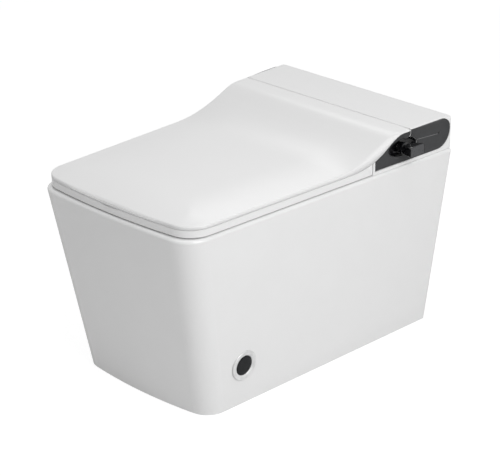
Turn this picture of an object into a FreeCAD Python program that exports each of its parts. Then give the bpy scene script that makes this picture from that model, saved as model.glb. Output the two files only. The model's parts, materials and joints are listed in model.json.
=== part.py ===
import FreeCAD, Part
import math
import os
import re

import Sketcher
from FreeCAD import Placement, Rotation, Vector

# Smart toilet with a heated seat, built as separate pieces at real size, in millimetres.
# +Z is up, +Y points to the wall and +X is the side with the knob. The origin is the centre of
# the waste outlet at floor level.

SIZES = {
    # the whole object
    "front": -396,  # front of the rim, from the outlet
    "rear": 305,  # rear face, from the outlet: the rough-in distance
    # glazed base
    "rim_top": 383,
    "rim_half": 201,  # half width at the front of the rim
    "rim_spread": 0.0416,  # sides open to the rear by this much per mm
    "rim_corner": 50,
    "rim_bow": 2500,  # the front edge is a shallow arc of this radius
    "rim_round": 6,
    "base_front": -324.5,
    "base_rear": 299,
    "base_half": 170.3,
    "base_spread": 0.0179,
    "base_corner": 42,
    "base_bow": 1000,
    "rear_corner": 9,
    "glaze_wall": 13,
    "deck": 22,
    "bowl_wall": 12,
    "trap_bore": 27,
    "trap_wall": 9,
    "trap_bend": 42,  # radius of the bend over the weir
    "trap_weir": 226,  # height of that bend's centre
    "horn_bore": 40,
    "horn_outer": 50,
    "horn_depth": 40,
    "well_half": 150,
    "well_front": 70,
    "well_rear": 268,
    # lid and seat
    "lid_half": 197.7,
    "lid_spread": 0.0414,
    "lid_corner": 51,
    "lid_bow": 1410,
    "lid_front": -390,
    "lid_lip": 186.3,
    "lid_flat": 414.3,
    "crest": 450,
    "lid_round": 9,
    "lid_under": 400,
    "lid_under_rear": 446.6,
    "lid_skin": 3,
    "lid_wall": 5,
    "seat_under": 385.8,
    "seat_split": 392,
    "seat_rear": 80,
    "seat_skin": 3.5,
    "seat_gap": 0.8,  # between the seat's top and the lid
    "hole_centre": -187,
    "hole_long": 135,
    "hole_wide": 105,
    # hinge line
    "hinge_y": 178,
    "hinge_z": 443,
    "pin": 3,
    "knuckle": 5,
    "barrel": 10.86,
    "trough": 11.4,
    "running": 0.05,
    # rear housing
    "cover_half": 221.9,  # half width at the seam
    "cover_spread": 0.038,
    "cover_front": 80.9,
    "cover_seam": 187,
    "cover_wall": 3,
    "cover_side": 8,
    "cover_round": 8,
    "plate": 3.5,
    "bolt": 4,
    "bolt_x": 178,
    "bolt_y": 110,
    "panel_low": 389.5,
    "panel_high": 448.5,
    "panel_front": 86,
    "panel_rear": 298,
    "panel_recess": 4.5,
    "panel_thick": 2.2,
    "knob_y": 164,
    "knob_z": 418,
    "dish_long": 40,  # half sizes of the oval dish round the knob
    "dish_high": 17,
    # nozzle bay
    "bay_half": 76,
    "bay_front": -52,
    "bay_rear": 68,
    "bay_floor": 308,
    "bay_top": 385.3,
    "bay_wall": 2.5,
    "wand_tilt": 18,
    "wand_y": -28,  # front end of the parked wand
    "wand_z": 334,
    "wand": 8,
    "wand_length": 150,
    "tooth": 1,  # gear module
    "pinion_teeth": 16,
    # fans
    "fan_y": 150,
    "fan_z": 414,
    "fan_case": 24,
    "fan_wheel": 20,
    "spindle": 2,
    # flush tank and pump under the deck
    "tank_left": -118,
    "tank_right": 145,
    "tank_front": 134,
    "tank_back": 260,
    "tank_low": 210,
    "tank_top": 379.5,
    "tank_wall": 3,
    "pump_y": 160,
    "pump_low": 150,
    "pump_top": 206,
    "inlet_x": -80,
    "inlet_z": 150,
    "thread": 10.48,
    # pieces on the chassis plate
    "gland_x": 60,
    "gland_z": 400,
    "gland_bore": 4.2,
    "selector_x": -80,
    "selector_y": 235,
    # foot sensor
    "sensor_y": -228,
    "sensor_z": 83.6,
    "sensor_ring": 30,
    "sensor_lens": 19.4,
}

doc = FreeCAD.newDocument("smart_toilet")
sheet = doc.addObject("Spreadsheet::Sheet", "Sizes")
for row, (alias, number) in enumerate(SIZES.items(), start=1):
    sheet.set(f"A{row}", alias)
    sheet.set(f"B{row}", str(number))
    sheet.setAlias(f"B{row}", alias)
doc.recompute()

NODES = {}


# ---------------------------------------------------------------- sizes and expressions


def linked(text):
    """An expression in which every alias is read from the sheet."""
    return re.sub(r"[a-z_]+", lambda m: "Sizes." + m[0] if m[0] in SIZES else m[0], str(text))


def number(text):
    """The number that an expression gives."""
    result = sheet.evalExpression(linked(text))
    return float(getattr(result, "Value", result))


def bind(thing, **places):
    """Binds properties to expressions; a double underscore stands for a dot."""
    for place, text in places.items():
        thing.setExpression(place.replace("__", "."), linked(text))
    return thing


def node(name, thing):
    """Keeps an object as a finished sub-part under its own name."""
    thing.Label = name
    NODES[name] = thing
    return thing


# ---------------------------------------------------------------- solids and booleans


def box(name, x, y, z):
    """A block between two expressions on each axis."""
    thing = doc.addObject("Part::Box", name)
    for side, axis, (low, high) in (("Length", "x", x), ("Width", "y", y), ("Height", "z", z)):
        thing.setExpression(side, linked(f"({high}) - ({low})"))
        thing.setExpression(f"Placement.Base.{axis}", linked(low))
    return thing


TURN = {"x": Rotation(Vector(0, 1, 0), 90), "y": Rotation(Vector(1, 0, 0), -90), "z": Rotation()}


def rod(name, along, radius, start, length):
    """A cylinder along an axis, from its start point."""
    thing = doc.addObject("Part::Cylinder", name)
    thing.Placement.Rotation = TURN[along]
    return bind(
        thing,
        Radius=radius,
        Height=length,
        Placement__Base__x=start[0],
        Placement__Base__y=start[1],
        Placement__Base__z=start[2],
    )


def cut(name, base, *tools):
    thing = doc.addObject("Part::Cut", name)
    thing.Base = base
    thing.Tool = tools[0] if len(tools) == 1 else fuse(name + "_tools", *tools)
    return thing


def fuse(name, *pieces):
    thing = doc.addObject("Part::MultiFuse", name)
    thing.Shapes = list(pieces)
    return thing


def common(name, *pieces):
    thing = doc.addObject("Part::MultiCommon", name)
    thing.Shapes = list(pieces)
    return thing


def group(name, *pieces):
    thing = doc.addObject("Part::Compound", name)
    thing.Links = list(pieces)
    return thing


def mirrored(name, source):
    """The same piece on the other side of the middle plane."""
    thing = doc.addObject("Part::Mirroring", name)
    thing.Source = source
    thing.Normal = Vector(1, 0, 0)
    return thing


def pipe(name, along, outer, inner, start, length):
    """A straight tube, open at both ends."""
    return cut(
        name,
        rod(name + "_outside", along, outer, start, length),
        rod(name + "_bore", along, inner, start, length),
    )


def extruded(name, wire, direction, length):
    """A closed wire made into a solid."""
    flat = doc.addObject("Part::Feature", name + "_outline")
    flat.Shape = wire
    thing = doc.addObject("Part::Extrusion", name)
    thing.Base = flat
    thing.DirMode = "Custom"
    thing.Dir = direction
    thing.Solid = True
    return bind(thing, LengthFwd=length)


# ---------------------------------------------------------------- bodies with sketches

PLANES = {"x": "YZ_Plane", "y": "XZ_Plane", "z": "XY_Plane"}


def body(name):
    return doc.addObject("PartDesign::Body", name)


def polygon(owner, name, facing, points, shift="0"):
    """A closed sketch whose corners are expressions, on an origin plane moved by shift."""
    sketch = owner.newObject("Sketcher::SketchObject", name)
    plane = [f for f in owner.Origin.OriginFeatures if f.Role == PLANES[facing]][0]
    sketch.AttachmentSupport = [(plane, "")]
    sketch.MapMode = "FlatFace"
    bind(sketch, AttachmentOffset__Base__z=shift)
    flat = [Vector(number(across), number(up), 0) for across, up in points]
    count = len(flat)
    for i in range(count):
        sketch.addGeometry(Part.LineSegment(flat[i], flat[(i + 1) % count]), False)
    for i in range(count):
        sketch.addConstraint(Sketcher.Constraint("Coincident", i, 2, (i + 1) % count, 1))
    for i, pair in enumerate(points):
        for kind, axis, text, reach in (
            ("DistanceX", -2, pair[0], flat[i].x),
            ("DistanceY", -1, pair[1], flat[i].y),
        ):
            if abs(reach) < 1e-6:
                sketch.addConstraint(Sketcher.Constraint("PointOnObject", i, 1, axis))
                continue
            at = sketch.addConstraint(Sketcher.Constraint(kind, -1, 1, i, 1, reach))
            sketch.setExpression(f"Constraints[{at}]", linked(text))
    return sketch


def pad(owner, sketch, length):
    thing = owner.newObject("PartDesign::Pad", sketch.Name + "_pad")
    thing.Profile = sketch
    bind(thing, Length=length)
    sketch.Visibility = False
    return thing


def pocket(owner, sketch, length):
    """A pocket that cuts both ways from its sketch."""
    thing = owner.newObject("PartDesign::Pocket", sketch.Name + "_pocket")
    thing.Profile = sketch
    thing.Midplane = True
    bind(thing, Length=length)
    return thing


def turned(name, along, points, start):
    """A body of revolution: points give (distance along the axis, radius)."""
    owner = body(name)
    facing, axis = {"x": ("y", "H_Axis"), "y": ("x", "H_Axis"), "z": ("y", "V_Axis")}[along]
    corners = [(r, a) for a, r in points] if along == "z" else points
    sketch = polygon(owner, name + "_section", facing, corners)
    thing = owner.newObject("PartDesign::Revolution", name + "_turn")
    thing.Profile = sketch
    thing.ReferenceAxis = (sketch, [axis])
    thing.Angle = 360
    if start:
        bind(
            owner,
            Placement__Base__x=start[0],
            Placement__Base__y=start[1],
            Placement__Base__z=start[2],
        )
    return owner


def disc(owner, name, facing, radius, shift="0", centre=None):
    """A sketched circle round the body's origin, or round a stated centre."""
    sketch = polygon(owner, name, facing, [], shift)
    middle = Vector(*(number(v) for v in centre)) if centre else Vector()
    sketch.addGeometry(Part.Circle(middle, Vector(0, 0, 1), number(radius)), False)
    if centre:
        for kind, text, reach in (("DistanceX", centre[0], middle.x), ("DistanceY", centre[1], middle.y)):
            at = sketch.addConstraint(Sketcher.Constraint(kind, -1, 1, 0, 3, reach))
            sketch.setExpression(f"Constraints[{at}]", linked(text))
    else:
        sketch.addConstraint(Sketcher.Constraint("Coincident", 0, 3, -1, 1))
    at = sketch.addConstraint(Sketcher.Constraint("Radius", 0, number(radius)))
    sketch.setExpression(f"Constraints[{at}]", linked(radius))
    return sketch


def ringed(owner, feature, plane_role, count):
    """Repeats a feature evenly round one of the body's origin axes."""
    pattern = owner.newObject("PartDesign::PolarPattern", feature.Name + "_ring")
    pattern.Originals = [feature]
    axis = [f for f in owner.Origin.OriginFeatures if f.Role == plane_role][0]
    pattern.Axis = (axis, [""])
    pattern.Angle = 360
    pattern.Occurrences = count
    owner.Tip = pattern
    return pattern


# ---------------------------------------------------------------- outlines


def arc(a, b, c):
    return Part.Arc(Vector(*a), Vector(*b), Vector(*c)).toShape()


def line(a, b):
    return Part.LineSegment(Vector(*a), Vector(*b)).toShape()


def outline(half, spread, front, rear, front_corner, rear_corner, bow, height=0.0, inset=0.0):
    """Plan outline: a bowed front, straight sides that open to the rear, and round corners."""
    start = number("front")
    front += inset
    rear -= inset
    slant = math.hypot(1, spread)
    middle = front + bow

    def corner_line(radius):
        return half - inset * slant - spread * start - radius * slant

    radius = max(front_corner - inset, 1)
    p = corner_line(radius)
    a = 1 + spread * spread
    b = middle - p * spread
    c = p * p + middle * middle - (bow - radius) ** 2
    y = (b - math.sqrt(b * b - a * c)) / a
    centre = Vector(p + spread * y, y, height)
    out = centre - Vector(0, middle, height)
    first = Vector(0, middle, height) + out * (bow / out.Length)
    side = Vector(1, -spread, 0) / slant
    second = centre + side * radius
    between = centre + ((first - centre) + (second - centre)).normalize() * radius
    edge = max(rear_corner - inset, 0.5)
    back = Vector(corner_line(edge) + spread * (rear - edge), rear - edge, height)
    third = back + side * edge
    fourth = back + Vector(0, edge, 0)
    turn = back + ((third - back) + (fourth - back)).normalize() * edge

    def other(v):
        return Vector(-v.x, v.y, v.z)

    edges = [
        arc(other(first), (0, front, height), first),
        arc(first, between, second),
        line(second, third),
        arc(third, turn, fourth),
        line(fourth, other(fourth)),
        arc(other(fourth), other(turn), other(third)),
        line(other(third), other(second)),
        arc(other(second), other(between), other(first)),
    ]
    return Part.Wire(edges)


def lid_outline(inset=0.0, rear=None, height=0.0):
    ends = number("cover_seam + 50") if rear is None else number(rear)
    return outline(
        number("lid_half"),
        number("lid_spread"),
        number("lid_front"),
        ends + inset,
        number("lid_corner"),
        0.5,
        number("lid_bow"),
        height,
        inset,
    )


def cover_outline(inset=0.0, height=0.0):
    """The housing starts behind the seat, so its front is cut square later."""
    spread = number("cover_spread")
    half = number("cover_half - cover_spread * (cover_seam - front)")
    rear, corner = number("rear"), number("rear_corner")
    return outline(half, spread, number("lid_front"), rear, 40, corner, number("lid_bow"), height, inset)


def s_curve(stations, low, high):
    """Edges of an S in the YZ plane: an arc, a slope and an arc between two level ends."""
    a, b, c, d = stations
    arcs, straight, rise = (b - a) + (d - c), c - b, high - low
    u = rise / (arcs + 2 * straight)
    for _ in range(12):
        u = rise / (arcs + 2 * straight / (1 - u * u))
    angle = 2 * math.atan(u)
    lower = (b - a) / math.sin(angle)
    upper = (d - c) / math.sin(angle)
    foot = (0, a, low)
    knee = (0, b, low + lower * (1 - math.cos(angle)))
    hip = (0, c, knee[2] + straight * math.tan(angle))
    head = (0, d, high)
    half = angle / 2
    bend = (0, a + lower * math.sin(half), low + lower * (1 - math.cos(half)))
    crown = (0, d - upper * math.sin(half), high - upper * (1 - math.cos(half)))
    return [arc(foot, bend, knee), line(knee, hip), arc(hip, crown, head)], foot, head


TOP_RUN = (-22, 112, 124, 158)  # where the lid's top starts to climb, straightens, bends and levels
UNDER_RUN = (30, 115, 133, 168)  # the same for the lid's lower edge


def under(name, which, shift, begin, end, floor=300):
    """All that lies under the lid's top or its lower edge, from begin to end, full width."""
    run, low, high = {
        "top": (TOP_RUN, "lid_flat", "crest"),
        "lower": (UNDER_RUN, "lid_under", "lid_under_rear"),
    }[which]
    climb, foot, head = s_curve(run, number(low) + shift, number(high) + shift)
    begin, end = number(begin), number(end)
    edges = [line((0, begin, floor), (0, begin, foot[2])), line((0, begin, foot[2]), foot)]
    edges += climb
    edges += [line(head, (0, end, head[2])), line((0, end, head[2]), (0, end, floor))]
    edges += [line((0, end, floor), (0, begin, floor))]
    wire = Part.Wire(edges)
    wire.translate(Vector(-260, 0, 0))
    return extruded(name, wire, Vector(1, 0, 0), "520")


def sliced(name, which, shift, begin, end):
    """The same region cut off in front, for a begin that lies on the slope."""
    region = under(name + "_all", which, shift, "-400", end)
    keep = box(name + "_keep", ("-260", "260"), (begin, end), ("300", "460"))
    return common(name, region, keep)


def rounded(name, base, radius, wanted):
    """Rounds the edges that a test picks."""
    doc.recompute()
    thing = doc.addObject("Part::Fillet", name)
    thing.Base = base
    picked = [i for i, e in enumerate(base.Shape.Edges, start=1) if wanted(e)]
    thing.Edges = [(i, number(radius), number(radius)) for i in picked]
    return thing


def ring(name, long, wide, centre, height):
    """A level ellipse, longer from front to back."""
    thing = doc.addObject("Part::Ellipse", name)
    thing.Placement.Rotation = Rotation(Vector(0, 0, 1), 90)
    return bind(
        thing,
        MajorRadius=long,
        MinorRadius=wide,
        Placement__Base__y=centre,
        Placement__Base__z=height,
    )


def loft(name, sections, ruled=False):
    thing = doc.addObject("Part::Loft", name)
    thing.Sections = sections
    thing.Solid = True
    thing.Ruled = ruled
    return thing


def wire_piece(name, wire):
    thing = doc.addObject("Part::Feature", name)
    thing.Shape = wire
    return thing


# ---------------------------------------------------------------- glazed base

BOWL = (  # height, half length, half width and centre of the bowl at each level
    ("rim_top + 1", 150, 118, -190),
    ("325", 130, 108, -198),
    ("260", 95, 84, -202),
    ("200", 58, 55, -202),
    ("150", 36, 36, -200),
)


def bowl(name, wall, lowest):
    """The bowl as a smooth loft, grown by a wall."""
    rings = []
    for i, (height, long, wide, centre) in enumerate(BOWL):
        level = lowest if i == len(BOWL) - 1 else height
        rings.append(ring(f"{name}_{i}", f"{long} + {wall}", f"{wide} + {wall}", str(centre), level))
    return loft(name, rings)


def trapway(name, radius):
    """Tube from the sump, up over the weir and down to the outlet."""
    bend, weir = number("trap_bend"), number("trap_weir")
    rise = -2 * bend
    turn, low = 40, 178
    inlet = rise - turn
    path = Part.Wire(
        [
            line((0, -195, low), (0, inlet, low)),
            arc(
                (0, inlet, low),
                (0, inlet + turn * math.sin(math.pi / 4), low + turn * (1 - math.cos(math.pi / 4))),
                (0, rise, low + turn),
            ),
            line((0, rise, low + turn), (0, rise, weir)),
            arc((0, rise, weir), (0, -bend, weir + bend), (0, 0, weir)),
            line((0, 0, weir), (0, 0, 0)),
        ]
    )
    section = Part.Wire(Part.makeCircle(number(radius), Vector(0, -195, low), Vector(0, 1, 0)))
    thing = doc.addObject("Part::Feature", name)
    thing.Shape = path.makePipeShell([section], True, False)
    return thing


def base_wire(name, inset, height):
    wire = outline(
        number("base_half + base_spread * (front - base_front)"),
        number("base_spread"),
        number("base_front"),
        number("base_rear"),
        number("base_corner"),
        number("rear_corner"),
        number("base_bow"),
        height,
        inset,
    )
    return wire_piece(name, wire)


def rim_wire(name, inset, height):
    wire = outline(
        number("rim_half"),
        number("rim_spread"),
        number("front"),
        number("rear"),
        number("rim_corner"),
        number("rear_corner"),
        number("rim_bow"),
        height,
        inset,
    )
    return wire_piece(name, wire)


def sensor_frame():
    """Where the foot sensor sits: the middle of its ring and the way it faces."""
    y, z = number("sensor_y"), number("sensor_z")
    share = z / number("rim_top")
    at_base = number("base_half + base_spread * (sensor_y - base_front)")
    at_rim = number("rim_half + rim_spread * (sensor_y - front)")
    spread = number("base_spread") * (1 - share) + number("rim_spread") * share
    lean = (at_rim - at_base) / number("rim_top")
    outward = Vector(1, -spread, -lean)
    middle = Vector(at_base + (at_rim - at_base) * share, y, z)
    return Placement(middle, Rotation(Vector(0, 0, 1), outward))


def skirt():
    """The outer shape with its soft top edge, hollow from below."""
    rim = number("rim_top")
    skin = loft("skirt", [base_wire("skirt_low", 0, 0), rim_wire("skirt_high", 0, rim)], True)
    outer = rounded("skirt_round", skin, "rim_round", lambda edge: edge.BoundBox.ZMin > rim - 0.5)
    wall = number("glaze_wall")
    top = number("rim_top - deck")
    sections = [base_wire("hollow_low", wall, -1), rim_wire("hollow_high", wall + 2, top)]
    return cut("base_shell", outer, loft("hollow", sections, True))


def ceramic_parts():
    """The casting in pieces: the skirt with its deck, and under it the bowl and two trapway halves."""
    everywhere = ("-300", "300"), ("-400", "300")
    bowl_outside = common(
        "bowl_outside",
        bowl("bowl_out", "bowl_wall", "138"),
        box("bowl_limit", *everywhere, ("100", "rim_top - deck")),
    )
    bowl_inside = bowl("bowl_in", "0", "150")
    tube_outside = trapway("trap_out", "trap_bore + trap_wall")
    tube_inside = trapway("trap_in", "trap_bore")
    notch = box("notch", ("-78", "78"), ("-98", "well_front + 5"), ("bay_floor - 0.3", "rim_top + 2"))

    rack_way = box("rack_channel", ("-8", "8"), ("-110", "-50"), ("299", "310"))
    trough = box("nozzle_trough", ("-90", "90"), ("-110", "well_front + 4"), ("296", "rim_top - 8"))
    wide = ("-well_half", "well_half")
    well = box("well", wide, ("well_front", "well_rear"), ("rim_top - deck - 4", "rim_top + 2"))
    window = box("rear_window", ("-115", "115"), ("268", "310"), ("-1", "230"))
    eye = rod("sensor_hole", "z", "24", ("0", "0", "-40"), "60")
    seat = rod("sensor_seat", "z", "sensor_ring + 0.4", ("0", "0", "-1"), "20")
    sensor = fuse("sensor_cut", eye, seat)
    sensor.Placement = sensor_frame()
    deck_holes = [
        rod(f"deck_hole_{side}", "z", "bolt + 2", (f"{side} * bolt_x", "bolt_y", "rim_top - 40"), "60")
        for side in (-1, 1)
    ]
    shell = fuse("base_solid", skirt(), trough)
    openings = [bowl_outside, bowl_inside, tube_outside, notch, rack_way, well, window, sensor, *deck_holes]
    node("ceramic_body", cut("ceramic_body", shell, *openings))

    jet = rod("jet_hole", "x", "5", ("20", "-201", "178"), "60")
    basin = cut("bowl_shell", bowl_outside, bowl_inside, tube_inside, notch, rack_way, jet)

    horn = rod("horn", "z", "horn_outer", ("0", "0", "0"), "60")
    cone = doc.addObject("Part::Cone", "horn_taper")
    bind(cone, Radius1="horn_bore", Radius2="trap_bore", Height="20", Placement__Base__z="horn_depth")
    bore = rod("horn_hole", "z", "horn_bore", ("0", "0", "-1"), "horn_depth + 1")
    tube = cut(
        "trapway_tube",
        fuse("trapway_solid", tube_outside, horn),
        tube_inside,
        bore,
        cone,
        bowl_outside,
        bowl_inside,
    )
    halves = []
    for i, across in enumerate((("-300", "0"), ("0", "300"))):
        side = box(f"trapway_side_{i}", across, ("-400", "300"), ("-10", "400"))
        halves.append(common(f"trapway_half_{i}", tube, side))
    node("ceramic_bowl", group("ceramic_bowl", basin, *halves))


def outlet_seal():
    """Rubber ring round the horn, pressed between base and floor flange."""
    points = [
        ("0", "horn_outer + 0.3"),
        ("0", "horn_outer + 18"),
        ("8", "horn_outer + 18"),
        ("22", "horn_outer + 6"),
        ("22", "horn_outer + 0.3"),
    ]
    node("outlet_seal", turned("outlet_seal", "z", points, ("0", "0", "0")))


# ---------------------------------------------------------------- lid


def lid_parts():
    """A shell with its hinge barrels, and the flat panel that closes it from below."""
    lower = 300
    block = extruded("lid_block", lid_outline(height=lower), Vector(0, 0, 1), "200")
    full = common("lid_full", block, under("lid_top", "top", 0, "-400", "cover_seam + 50"))

    def on_top(edge):
        b = edge.BoundBox
        crosses = b.XLength > 300 and b.YMin > number("front") + 60
        return b.ZMin > number("lid_flat") - 1 and not crosses

    soft = rounded("lid_soft", full, "lid_round", on_top)
    plate = cut(
        "lid_plate",
        soft,
        under("lid_below", "lower", 0, "-400", "lid_lip + 20"),
        box("lid_end", ("-260", "260"), ("lid_lip", "lid_lip + 80"), ("300", "500")),
    )
    centre = ("-240", "hinge_y", "hinge_z")
    drum = common(
        "lid_drum",
        rod("drum_rod", "x", "barrel", centre, "480"),
        box("drum_top", ("-200", "200"), ("100", "250"), ("300", "crest")),
    )
    gaps = []
    for side in (-1, 1):
        for a, b in ((96, 108), (108, 130), (177, 189)):
            low, high = sorted((side * a, side * b))
            gaps.append((str(low), str(high)))
    reliefs = [
        box(f"knuckle_gap_{i}", gap, ("160", "lid_lip - 1.2"), ("300", "hinge_z + knuckle + 0.4"))
        for i, gap in enumerate(gaps)
    ]
    reliefs += [
        box(f"knuckle_back_{i}", gap, ("lid_lip - 3", "230"), ("300", "lid_under_rear"))
        for i, gap in enumerate(gaps)
    ]
    bore = rod("lid_bore", "x", "pin + running", ("-190", "hinge_y", "hinge_z"), "380")
    middle_fill = box("bore_keep", ("-95.5", "95.5"), ("100", "250"), ("400", "460"))
    dampers = [
        rod(f"damper_bore_{side}", "x", "5.4", (f"{min(side * 135, side * 171)}", "hinge_y", "hinge_z"), "36")
        for side in (-1, 1)
    ]
    hollow = common(
        "lid_hollow",
        extruded("lid_hollow_block", lid_outline(number("lid_wall"), height=lower), Vector(0, 0, 1), "200"),
        under("lid_hollow_top", "top", -number("lid_skin"), "-400", "cover_seam"),
        box("lid_hollow_end", ("-260", "260"), ("-400", "150"), ("300", "500")),
    )
    shell = cut(
        "lid_shell",
        fuse("lid_joined", plate, drum),
        hollow,
        *reliefs,
        cut("lid_bores", bore, middle_fill),
        *dampers,
    )
    node("lid_shell", shell)
    panel = cut(
        "lid_inner_panel",
        common(
            "panel_sheet",
            extruded("panel_block", lid_outline(number("lid_wall"), height=lower), Vector(0, 0, 1), "200"),
            under("panel_top", "lower", 2.5, "-400", "cover_seam"),
        ),
        under("panel_below", "lower", 0, "-400", "cover_seam"),
        box("panel_clear", ("-260", "260"), ("138", "260"), ("300", "500")),
    )
    node("lid_inner_panel", panel)
    caps = [
        common(
            f"drum_cap_{side}",
            rod(f"cap_rod_{side}", "x", "barrel", (f"{side} * 208.45 - 8.35", "hinge_y", "hinge_z"), "16.7"),
            box(f"cap_limit_{side}", ("-260", "260"), ("100", "250"), ("300", "lid_under_rear - 0.05")),
        )
        for side in (-1, 1)
    ]
    node("lid_hinge_caps", group("lid_hinge_caps", *caps))


# ---------------------------------------------------------------- seat


def seat_hole(name, grow):
    """The opening, as an upright prism of an ellipse."""
    thing = doc.addObject("Part::Extrusion", name)
    thing.Base = ring(name + "_ring", f"hole_long + {grow}", f"hole_wide + {grow}", "hole_centre", "300")
    thing.DirMode = "Custom"
    thing.Dir = Vector(0, 0, 1)
    thing.Solid = True
    return bind(thing, LengthFwd="200")


def seat_block(name, inset, shift):
    """The seat's space: plan outline under the lid, lowered by shift and drawn in by inset."""
    wire = lid_outline(0.5 + inset, rear=f"seat_rear - 2 * {inset} - 0.5", height=number("seat_under"))
    solid = extruded(name + "_block", wire, Vector(0, 0, 1), "60")
    gap = -number("seat_gap") - shift
    return common(name, solid, under(name + "_top", "lower", gap, "-400", "cover_seam"))


def seat_parts():
    """Top and bottom shells round a hollow, with the heater foil under the top skin."""
    outside = cut("seat_outside", seat_block("seat_space", 0, 0), seat_hole("seat_opening", "0"))
    skin = number("seat_skin")
    inner_wall = seat_hole("seat_inner_wall", "seat_skin")
    inside = cut("seat_inside", seat_block("seat_room", skin, skin), inner_wall)
    split = ("-260", "260"), ("-400", "200")
    above = box("above_split", *split, ("seat_split", "500"))
    below = box("below_split", *split, ("300", "seat_split"))
    floor = box("seat_floor", *split, ("300", "seat_under + 3"))
    shell = cut("seat_top_solid", common("seat_upper", outside, above), inside)
    doc.recompute()
    node("seat_top_shell", shell)
    tray = cut("seat_bottom_shell", common("seat_lower", outside, below), cut("seat_tray", inside, floor))
    node("seat_bottom_shell", tray)
    foil = common(
        "seat_heater_foil",
        cut("foil_plan", seat_block("foil_space", 9, skin), seat_hole("foil_opening", "10")),
        box("foil_layer", ("-260", "260"), ("-400", "20"), ("lid_under - seat_gap - seat_skin - 0.8", "500")),
    )
    node("seat_heater_foil", foil)


def pads(name, places, low, high, radius):
    """Round rubber pads of one kind."""
    made = [
        rod(f"{name}_{i}", "z", radius, (str(x), str(y), low), f"({high}) - ({low})")
        for i, (x, y) in enumerate(places)
    ]
    return node(name, group(name, *made))


def arms(name, spans, profile):
    """One profile in the YZ plane, repeated at each span of x, as separate solids."""
    made = []
    for i, (low, high) in enumerate(spans):
        owner = body(f"{name}_{i}")
        sketch = polygon(owner, f"{name}_profile_{i}", "x", profile, str(low))
        pad(owner, sketch, str(high - low))
        turn = rod(f"{name}_boss_{i}", "x", "knuckle", (str(low), "hinge_y", "hinge_z"), str(high - low))
        start = (str(low - 1), "hinge_y", "hinge_z")
        hole = rod(f"{name}_hole_{i}", "x", f"pin + {BORE[name]}", start, str(high - low + 2))
        made.append(cut(f"{name}_part_{i}", fuse(f"{name}_joined_{i}", owner, turn), hole))
    return node(name, group(name, *made))


BORE = {"hinge_brackets": "0.02", "seat_hinge_arms": "running"}


def hinge_parts():
    """Fixed steel brackets and pins, and the seat's two arms that turn on the same pins."""
    bracket = [
        ("hinge_y - 3.54", "hinge_z + 3.54"),
        ("hinge_y - 28", "hinge_z - 20.9"),
        ("hinge_y - 28", "rim_top + plate + 3"),
        ("hinge_y - 44", "rim_top + plate + 3"),
        ("hinge_y - 44", "rim_top + plate"),
        ("hinge_y - 14", "rim_top + plate"),
        ("hinge_y - 14", "hinge_z - 21.1"),
        ("hinge_y + 3.54", "hinge_z - 3.54"),
    ]
    arms("hinge_brackets", [(97, 107), (178, 188), (-107, -97), (-188, -178)], bracket)
    arm = [
        ("hinge_y - 2.5", "hinge_z + 4.33"),
        ("hinge_y - 50", "hinge_z - 23.1"),
        ("seat_rear", "407"),
        ("seat_rear", "391"),
        ("hinge_y - 54", "400"),
        ("hinge_y + 2.5", "hinge_z - 4.33"),
    ]
    arms("seat_hinge_arms", [(109, 129), (-129, -109)], arm)
    pins = [
        rod(f"hinge_pin_{side}", "x", "pin", (str(min(side * 97, side * 188)), "hinge_y", "hinge_z"), "91")
        for side in (-1, 1)
    ]
    node("hinge_pins", group("hinge_pins", *pins))
    sleeves = [
        pipe(
            f"damper_{side}",
            "x",
            "5.4",
            "pin + running",
            (str(min(side * 135, side * 171)), "hinge_y", "hinge_z"),
            "36",
        )
        for side in (-1, 1)
    ]
    node("lid_dampers", group("lid_dampers", *sleeves))


# ---------------------------------------------------------------- rear housing


def cover_space(name, inset, wall, drop, trough):
    """The housing's outer or inner space: stepped under the lid, level behind the seam."""
    outline_wire = cover_outline(inset, height=number("rim_top") + 0.5)
    plan = extruded(name + "_plan", outline_wire, Vector(0, 0, 1), "100")
    ahead = sliced(name + "_ahead", "lower", -0.8 - drop, f"cover_front + {wall}", "hinge_y")
    behind = box(name + "_behind", ("-260", "260"), ("hinge_y", "rear + 10"), ("300", f"crest - {drop}"))
    body_ = common(name + "_body", plan, fuse(name + "_sides", ahead, behind))
    return cut(name, body_, rod(name + "_trough", "x", trough, ("-260", "hinge_y", "hinge_z"), "520"))


def band(name, outside, inside):
    """The layer of the housing's sides between two insets."""
    height = number("rim_top")
    return cut(
        name,
        extruded(name + "_outer", cover_outline(outside, height), Vector(0, 0, 1), "100"),
        extruded(name + "_inner", cover_outline(inside, height - 1), Vector(0, 0, 1), "102"),
    )


def panel_region(name, shrink):
    """Side view of the dark panel: it follows the lid, then the cover's top, and ends round."""
    low, high = number("panel_low") + shrink, number("panel_high") - shrink
    rear = number("panel_rear") - shrink
    big = 34 - shrink
    small = 22 - shrink
    diagonal = math.sqrt(0.5)
    front = number("panel_front") + shrink
    edges = [
        line((0, front, low), (0, rear - big, low)),
        arc(
            (0, rear - big, low),
            (0, rear - big + big * diagonal, low + big - big * diagonal),
            (0, rear, low + big),
        ),
        line((0, rear, low + big), (0, rear, high - small)),
        arc(
            (0, rear, high - small),
            (0, rear - small + small * diagonal, high - small + small * diagonal),
            (0, rear - small, high),
        ),
        line((0, rear - small, high), (0, front, high)),
        line((0, front, high), (0, front, low)),
    ]
    wire = Part.Wire(edges)
    wire.translate(Vector(-260, 0, 0))
    plate = extruded(name + "_plate", wire, Vector(1, 0, 0), "520")
    lid_line = fuse(
        name + "_limit",
        under(name + "_lid", "lower", -0.8 - shrink, "-400", "hinge_y"),
        box(name + "_aft", ("-260", "260"), ("hinge_y", "310"), ("300", "460")),
    )
    notch = rod(name + "_notch", "x", f"trough + {shrink}", ("-260", "hinge_y", "hinge_z"), "520")
    return cut(name, common(name + "_body", plate, lid_line), notch)


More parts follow.
